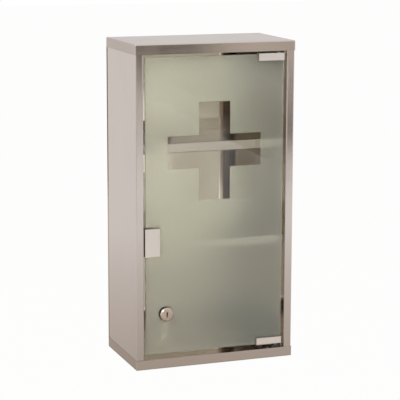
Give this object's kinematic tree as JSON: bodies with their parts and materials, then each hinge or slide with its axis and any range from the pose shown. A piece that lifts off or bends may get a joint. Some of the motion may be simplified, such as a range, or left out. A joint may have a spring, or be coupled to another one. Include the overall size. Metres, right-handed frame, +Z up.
{
  "type": "medicine cabinet",
  "caption": "Wall-hung stainless steel medicine cabinet with a hinged frosted glass door, a clear cross window, a cam lock, a magnetic catch and inner shelves.",
  "frame": {"origin": "centre of the back panel's wall face", "axes": "+Z up, +Y into the wall, so the door faces -Y; +X to the hinged side of the door"},
  "size_m": [0.31, 0.1756, 0.6],
  "materials": {
    "brushed_stainless": "brushed stainless sheet",
    "polished_stainless": "stainless sheet polished like a mirror on the inside",
    "frosted_glass": "greenish glass, etched on the inside with a cross left clear",
    "satin_stainless": "satin stainless",
    "plated_steel": "zinc-plated steel",
    "chrome": "bright chrome plate",
    "black_nylon": "black nylon",
    "clear_liner": "thin translucent rubber sheet",
    "black_rubber": "black rubber",
    "ferrite": "dark ferrite magnet",
    "brass": "bare brass"
  },
  "bodies": {
    "case": {"left_side_panel": "brushed_stainless", "right_side_panel": "brushed_stainless", "left_front_stile": "brushed_stainless", "right_front_stile": "brushed_stainless", "back_panel": "polished_stainless", "top_cap": "brushed_stainless", "bottom_cap": "brushed_stainless", "upper_shelf": "brushed_stainless", "lower_shelf": "brushed_stainless", "upper_shelf_rails": "brushed_stainless", "lower_shelf_rails": "brushed_stainless", "upper_pivot_bracket": "plated_steel", "lower_pivot_bracket": "plated_steel", "upper_pivot_bush": "black_nylon", "lower_pivot_bush": "black_nylon", "catch_bracket": "plated_steel", "catch_housing": "black_nylon", "catch_magnet": "ferrite", "catch_pole_plates": "plated_steel", "catch_screws": "plated_steel"},
    "door": {"door_glass": "frosted_glass", "upper_hinge_clip": "satin_stainless", "lower_hinge_clip": "satin_stainless", "upper_hinge_liner": "clear_liner", "lower_hinge_liner": "clear_liner", "upper_hinge_pin": "plated_steel", "lower_hinge_pin": "plated_steel", "hinge_grub_screws": "plated_steel", "pull_clip": "satin_stainless", "pull_clip_liner": "clear_liner", "pull_clip_grub_screws": "plated_steel", "lock_barrel": "chrome", "lock_gasket": "black_rubber", "lock_washer": "plated_steel", "lock_nut": "plated_steel"},
    "lock_core": {"lock_plug": "chrome", "lock_wafers": "brass", "lock_cam": "plated_steel", "cam_washer": "plated_steel", "cam_screw": "plated_steel"}
  },
  "joints": [
    {"name": "door_swing", "type": "hinge", "parent": "case", "child": "door", "pos_m": [0.1245, -0.1676, 0], "axis": [0, 0, 1], "range_deg": [0, 130]},
    {"name": "lock_turn", "type": "hinge", "parent": "door", "child": "lock_core", "pos_m": [-0.095, -0.155, -0.198], "axis": [0, 1, 0], "range_deg": [0, 90]}
  ]
}
